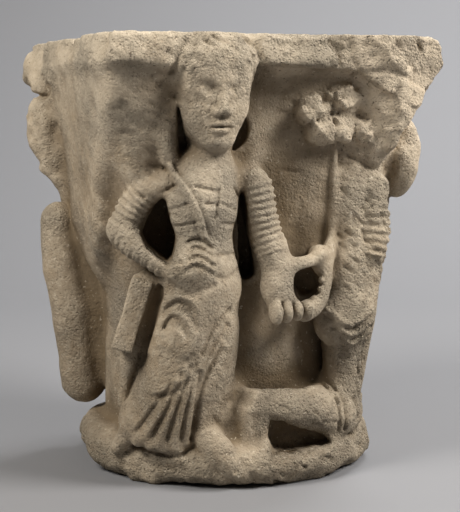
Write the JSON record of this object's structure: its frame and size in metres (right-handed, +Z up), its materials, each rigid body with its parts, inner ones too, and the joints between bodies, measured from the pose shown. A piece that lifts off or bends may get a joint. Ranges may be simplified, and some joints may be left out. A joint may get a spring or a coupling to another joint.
{
  "type": "carved column capital",
  "caption": "Worn stone capital for a column, round at the foot and square at the top, carved with a standing figure holding a flowering staff and a kneeling winged figure.",
  "frame": {"origin": "centre of the bell's axis on the underside, where the capital sits on its column", "axes": "+Z up along the column's axis, -Y towards the carved front, +X to the viewer's right"},
  "size_m": [0.3111, 0.292, 0.364],
  "materials": {
    "limestone": "weathered, matt"
  },
  "bodies": {
    "root": {"capital": "limestone"}
  },
  "joints": []
}
